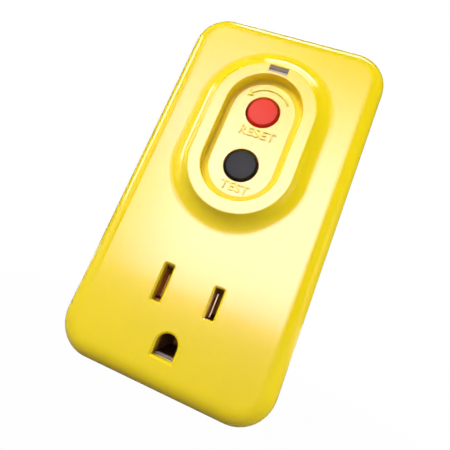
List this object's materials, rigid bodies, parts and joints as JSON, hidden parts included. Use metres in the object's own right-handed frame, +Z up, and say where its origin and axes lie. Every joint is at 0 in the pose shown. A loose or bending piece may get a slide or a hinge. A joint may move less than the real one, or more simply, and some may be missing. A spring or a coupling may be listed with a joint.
{
  "type": "plug-in rcd adapter",
  "caption": "Yellow plug-in RCD adapter: flat blades and ground pin behind, grounded outlet in front, red reset and black test buttons in a raised collar, indicator window.",
  "frame": {"origin": "on the wall side of the case, midway between the two flat blades", "axes": "+X right as seen from the front, +Y into the wall along the blades, +Z up towards the buttons"},
  "size_m": [0.0528, 0.0561, 0.0955],
  "materials": {
    "case_plastic": "glossy moulded yellow",
    "red_plastic": "satin red",
    "black_plastic": "satin black",
    "clear_plastic": "clear moulded",
    "insulator": "off-white moulded",
    "dark_insulator": "black moulded",
    "brass": "bright stamped",
    "nickel": "nickel plated",
    "steel": "zinc plated",
    "spring_steel": "bright wire",
    "copper": "enamelled copper",
    "silver": "silver",
    "board": "green solder mask",
    "ferrite": "sintered",
    "red_led": "tinted epoxy",
    "varistor_coat": "dipped epoxy",
    "part_tan": "resistor coat"
  },
  "bodies": {
    "case": {"front_cover": "case_plastic", "rear_cover": "case_plastic", "cover_screws": "steel", "blade_carrier": "insulator", "line_blade": "brass", "neutral_blade": "brass", "ground_pin": "brass", "line_bus": "copper", "neutral_bus": "copper", "line_load_bar": "copper", "neutral_load_bar": "copper", "outlet_housing": "insulator", "line_contact": "brass", "neutral_contact": "brass", "ground_contact": "nickel", "contact_retainer": "insulator", "main_board": "board", "board_screws": "steel", "transformer_case": "dark_insulator", "sense_core": "ferrite", "sense_winding": "copper", "neutral_core": "ferrite", "neutral_winding": "copper", "reset_spring": "spring_steel", "test_spring": "spring_steel", "mechanism_guide": "insulator", "latch_spring": "spring_steel", "fixed_contacts": "silver", "carrier_springs": "spring_steel", "solenoid_bobbin": "insulator", "solenoid_winding": "copper", "solenoid_frame": "steel", "plunger_spring": "spring_steel", "test_leaf": "spring_steel", "test_contact_post": "brass", "indicator_lens": "clear_plastic", "indicator_board": "board", "indicator_led": "red_led", "indicator_pins": "brass", "control_chip": "dark_insulator", "thyristor": "dark_insulator", "varistor": "varistor_coat", "filter_capacitor": "varistor_coat", "rectifier_diodes": "dark_insulator", "board_resistors": "part_tan", "test_resistor": "part_tan"},
    "reset": {"reset_button": "red_plastic", "reset_pin": "steel"},
    "carrier": {"contact_carrier": "insulator", "contact_bridges": "copper", "bridge_contacts": "silver"},
    "latch": {"latch_plate": "steel"},
    "test": {"test_button": "black_plastic"},
    "plunger": {"solenoid_plunger": "steel"}
  },
  "joints": [
    {"name": "reset_press", "type": "slide", "parent": "case", "child": "reset", "axis": [0, 1, 0], "range_m": [0, 0.0016], "stiffness_N_per_m": 900, "springref_m": -0.001, "deforming": ["reset_spring"]},
    {"name": "carrier_slide", "type": "slide", "parent": "case", "child": "carrier", "axis": [0, 1, 0], "range_m": [0, 0.0016], "stiffness_N_per_m": 600, "springref_m": -0.001, "deforming": ["carrier_springs"]},
    {"name": "test_press", "type": "slide", "parent": "case", "child": "test", "axis": [0, 1, 0], "range_m": [0, 0.0012], "stiffness_N_per_m": 900, "springref_m": -0.001, "deforming": ["test_spring", "test_leaf"]},
    {"name": "plunger_strike", "type": "slide", "parent": "case", "child": "plunger", "axis": [0, 0, -1], "range_m": [0, 0.0016], "stiffness_N_per_m": 300, "springref_m": -0.001, "deforming": ["plunger_spring"]},
    {"name": "latch_slide", "type": "slide", "parent": "carrier", "child": "latch", "axis": [0, 0, -1], "range_m": [0, 0.0016], "stiffness_N_per_m": 200, "springref_m": -0.001, "deforming": ["latch_spring"]}
  ],
  "couplings": [
    {"joint": "carrier_slide", "follows": "reset_press", "ratio": 1},
    {"joint": "latch_slide", "follows": "plunger_strike", "ratio": 1}
  ]
}
